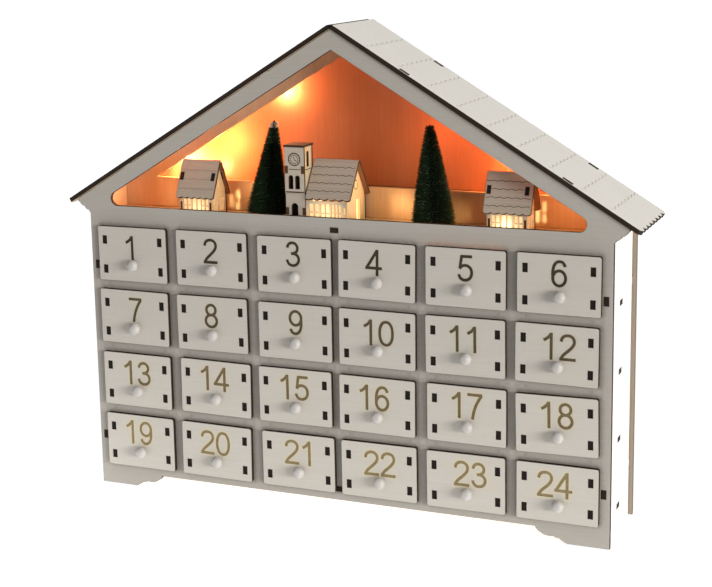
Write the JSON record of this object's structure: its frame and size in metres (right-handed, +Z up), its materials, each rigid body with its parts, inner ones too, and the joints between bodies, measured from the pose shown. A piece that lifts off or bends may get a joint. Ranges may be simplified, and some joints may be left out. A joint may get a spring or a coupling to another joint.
{
  "type": "advent calendar",
  "caption": "House-shaped wooden advent calendar with numbered pull-out drawers, a lit attic village behind a gable window and a pitched roof.",
  "frame": {"origin": "middle of the base, on the surface that the four feet stand on", "axes": "+X to the right as seen from the front, +Y towards the back, +Z up; the drawers face -Y"},
  "size_m": [0.403, 0.0786, 0.3258],
  "materials": {
    "grey_board": "washed grey plywood",
    "drawer_board": "pale washed plywood",
    "roof_board": "white-washed plywood",
    "white_board": "white-washed plywood",
    "raw_board": "bare plywood",
    "inner_board": "bare plywood",
    "scene_board": "pale washed plywood",
    "tree_bristle": "bristle",
    "black_plastic": "moulded",
    "cell_case": "satin",
    "wire": "insulated wire",
    "lamp": "warm white lamp"
  },
  "bodies": {
    "house": {"front_panel": "grey_board", "back_panel": "raw_board", "side_wall_left": "white_board", "side_wall_right": "white_board", "roof_left": "roof_board", "roof_right": "roof_board", "attic_floor": "inner_board", "light_baffle": "inner_board", "cottage_left": "scene_board", "cottage_right": "scene_board", "church_nave": "scene_board", "church_tower": "scene_board", "tree_left": "tree_bristle", "tree_right": "tree_bristle", "battery_box": "black_plastic", "battery_1": "cell_case", "battery_2": "cell_case", "led_wire": "wire", "shelf_1": "inner_board", "shelf_2": "inner_board", "shelf_3": "inner_board", "shelf_4": "inner_board", "divider_1": "inner_board", "divider_2": "inner_board", "divider_3": "inner_board", "divider_4": "inner_board", "divider_5": "inner_board", "lamp_cottage_left": "lamp", "lamp_church": "lamp", "lamp_cottage_right": "lamp", "lamp_tree": "lamp", "lamp_back_1": "lamp", "lamp_back_2": "lamp", "lamp_back_3": "lamp"},
    "drawer_01": {"drawer_01": "drawer_board"},
    "drawer_02": {"drawer_02": "drawer_board"},
    "drawer_03": {"drawer_03": "drawer_board"},
    "drawer_04": {"drawer_04": "drawer_board"},
    "drawer_05": {"drawer_05": "drawer_board"},
    "drawer_06": {"drawer_06": "drawer_board"},
    "drawer_07": {"drawer_07": "drawer_board"},
    "drawer_08": {"drawer_08": "drawer_board"},
    "drawer_09": {"drawer_09": "drawer_board"},
    "drawer_10": {"drawer_10": "drawer_board"},
    "drawer_11": {"drawer_11": "drawer_board"},
    "drawer_12": {"drawer_12": "drawer_board"},
    "drawer_13": {"drawer_13": "drawer_board"},
    "drawer_14": {"drawer_14": "drawer_board"},
    "drawer_15": {"drawer_15": "drawer_board"},
    "drawer_16": {"drawer_16": "drawer_board"},
    "drawer_17": {"drawer_17": "drawer_board"},
    "drawer_18": {"drawer_18": "drawer_board"},
    "drawer_19": {"drawer_19": "drawer_board"},
    "drawer_20": {"drawer_20": "drawer_board"},
    "drawer_21": {"drawer_21": "drawer_board"},
    "drawer_22": {"drawer_22": "drawer_board"},
    "drawer_23": {"drawer_23": "drawer_board"},
    "drawer_24": {"drawer_24": "drawer_board"},
    "battery_cover": {"battery_cover": "black_plastic"},
    "switch_slider": {"switch_slider": "black_plastic"}
  },
  "joints": [
    {"name": "drawer_01_slide", "type": "slide", "parent": "house", "child": "drawer_01", "axis": [0, -1, 0], "range_m": [0, 0.062]},
    {"name": "drawer_02_slide", "type": "slide", "parent": "house", "child": "drawer_02", "axis": [0, -1, 0], "range_m": [0, 0.062]},
    {"name": "drawer_03_slide", "type": "slide", "parent": "house", "child": "drawer_03", "axis": [0, -1, 0], "range_m": [0, 0.062]},
    {"name": "drawer_04_slide", "type": "slide", "parent": "house", "child": "drawer_04", "axis": [0, -1, 0], "range_m": [0, 0.062]},
    {"name": "drawer_05_slide", "type": "slide", "parent": "house", "child": "drawer_05", "axis": [0, -1, 0], "range_m": [0, 0.062]},
    {"name": "drawer_06_slide", "type": "slide", "parent": "house", "child": "drawer_06", "axis": [0, -1, 0], "range_m": [0, 0.062]},
    {"name": "drawer_07_slide", "type": "slide", "parent": "house", "child": "drawer_07", "axis": [0, -1, 0], "range_m": [0, 0.062]},
    {"name": "drawer_08_slide", "type": "slide", "parent": "house", "child": "drawer_08", "axis": [0, -1, 0], "range_m": [0, 0.062]},
    {"name": "drawer_09_slide", "type": "slide", "parent": "house", "child": "drawer_09", "axis": [0, -1, 0], "range_m": [0, 0.062]},
    {"name": "drawer_10_slide", "type": "slide", "parent": "house", "child": "drawer_10", "axis": [0, -1, 0], "range_m": [0, 0.062]},
    {"name": "drawer_11_slide", "type": "slide", "parent": "house", "child": "drawer_11", "axis": [0, -1, 0], "range_m": [0, 0.062]},
    {"name": "drawer_12_slide", "type": "slide", "parent": "house", "child": "drawer_12", "axis": [0, -1, 0], "range_m": [0, 0.062]},
    {"name": "drawer_13_slide", "type": "slide", "parent": "house", "child": "drawer_13", "axis": [0, -1, 0], "range_m": [0, 0.062]},
    {"name": "drawer_14_slide", "type": "slide", "parent": "house", "child": "drawer_14", "axis": [0, -1, 0], "range_m": [0, 0.062]},
    {"name": "drawer_15_slide", "type": "slide", "parent": "house", "child": "drawer_15", "axis": [0, -1, 0], "range_m": [0, 0.062]},
    {"name": "drawer_16_slide", "type": "slide", "parent": "house", "child": "drawer_16", "axis": [0, -1, 0], "range_m": [0, 0.062]},
    {"name": "drawer_17_slide", "type": "slide", "parent": "house", "child": "drawer_17", "axis": [0, -1, 0], "range_m": [0, 0.062]},
    {"name": "drawer_18_slide", "type": "slide", "parent": "house", "child": "drawer_18", "axis": [0, -1, 0], "range_m": [0, 0.062]},
    {"name": "drawer_19_slide", "type": "slide", "parent": "house", "child": "drawer_19", "axis": [0, -1, 0], "range_m": [0, 0.062]},
    {"name": "drawer_20_slide", "type": "slide", "parent": "house", "child": "drawer_20", "axis": [0, -1, 0], "range_m": [0, 0.062]},
    {"name": "drawer_21_slide", "type": "slide", "parent": "house", "child": "drawer_21", "axis": [0, -1, 0], "range_m": [0, 0.062]},
    {"name": "drawer_22_slide", "type": "slide", "parent": "house", "child": "drawer_22", "axis": [0, -1, 0], "range_m": [0, 0.062]},
    {"name": "drawer_23_slide", "type": "slide", "parent": "house", "child": "drawer_23", "axis": [0, -1, 0], "range_m": [0, 0.062]},
    {"name": "drawer_24_slide", "type": "slide", "parent": "house", "child": "drawer_24", "axis": [0, -1, 0], "range_m": [0, 0.062]},
    {"name": "battery_cover_pull", "type": "slide", "parent": "house", "child": "battery_cover", "axis": [0, 1, 0], "range_m": [0, 0.02]},
    {"name": "switch_slide", "type": "slide", "parent": "house", "child": "switch_slider", "axis": [1, 0, 0], "range_m": [0, 0.0045]}
  ]
}
